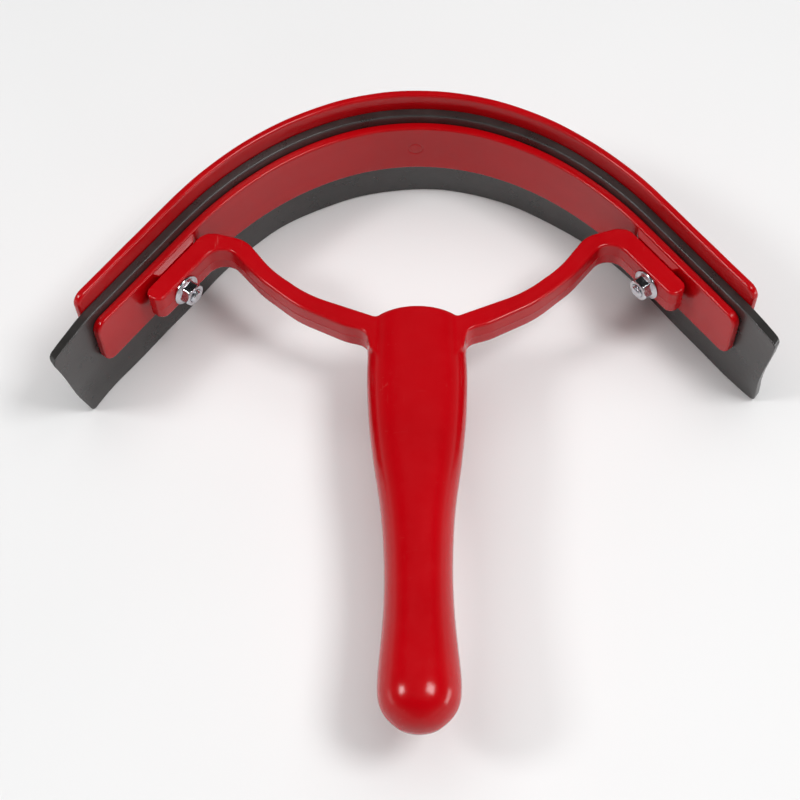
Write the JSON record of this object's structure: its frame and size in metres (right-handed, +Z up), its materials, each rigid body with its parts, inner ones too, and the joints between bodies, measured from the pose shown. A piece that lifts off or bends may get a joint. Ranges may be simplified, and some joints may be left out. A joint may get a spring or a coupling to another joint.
{
  "type": "sweat scraper",
  "caption": "Horse sweat scraper: curved rubber blade clamped by bolts between two plastic strips on a Y-shaped handle with a rounded grip.",
  "frame": {"origin": "centre of the bounding box's bottom face, in the plane that the rubber scraping edge rests on", "axes": "+X across the blade from wing to wing, +Y from the grip towards the crown of the arc, +Z up from the scraping edge"},
  "size_m": [0.2538, 0.2449, 0.0524],
  "materials": {
    "red_plastic": "glossy moulded",
    "black_rubber": "smooth matte",
    "zinc_steel": "bright zinc plated"
  },
  "bodies": {
    "root": {"outer_strip": "red_plastic", "inner_strip": "red_plastic", "handle_frame": "red_plastic", "rubber_blade": "black_rubber", "bolt_left": "zinc_steel", "bolt_right": "zinc_steel", "nut_left": "zinc_steel", "nut_right": "zinc_steel"}
  },
  "joints": []
}
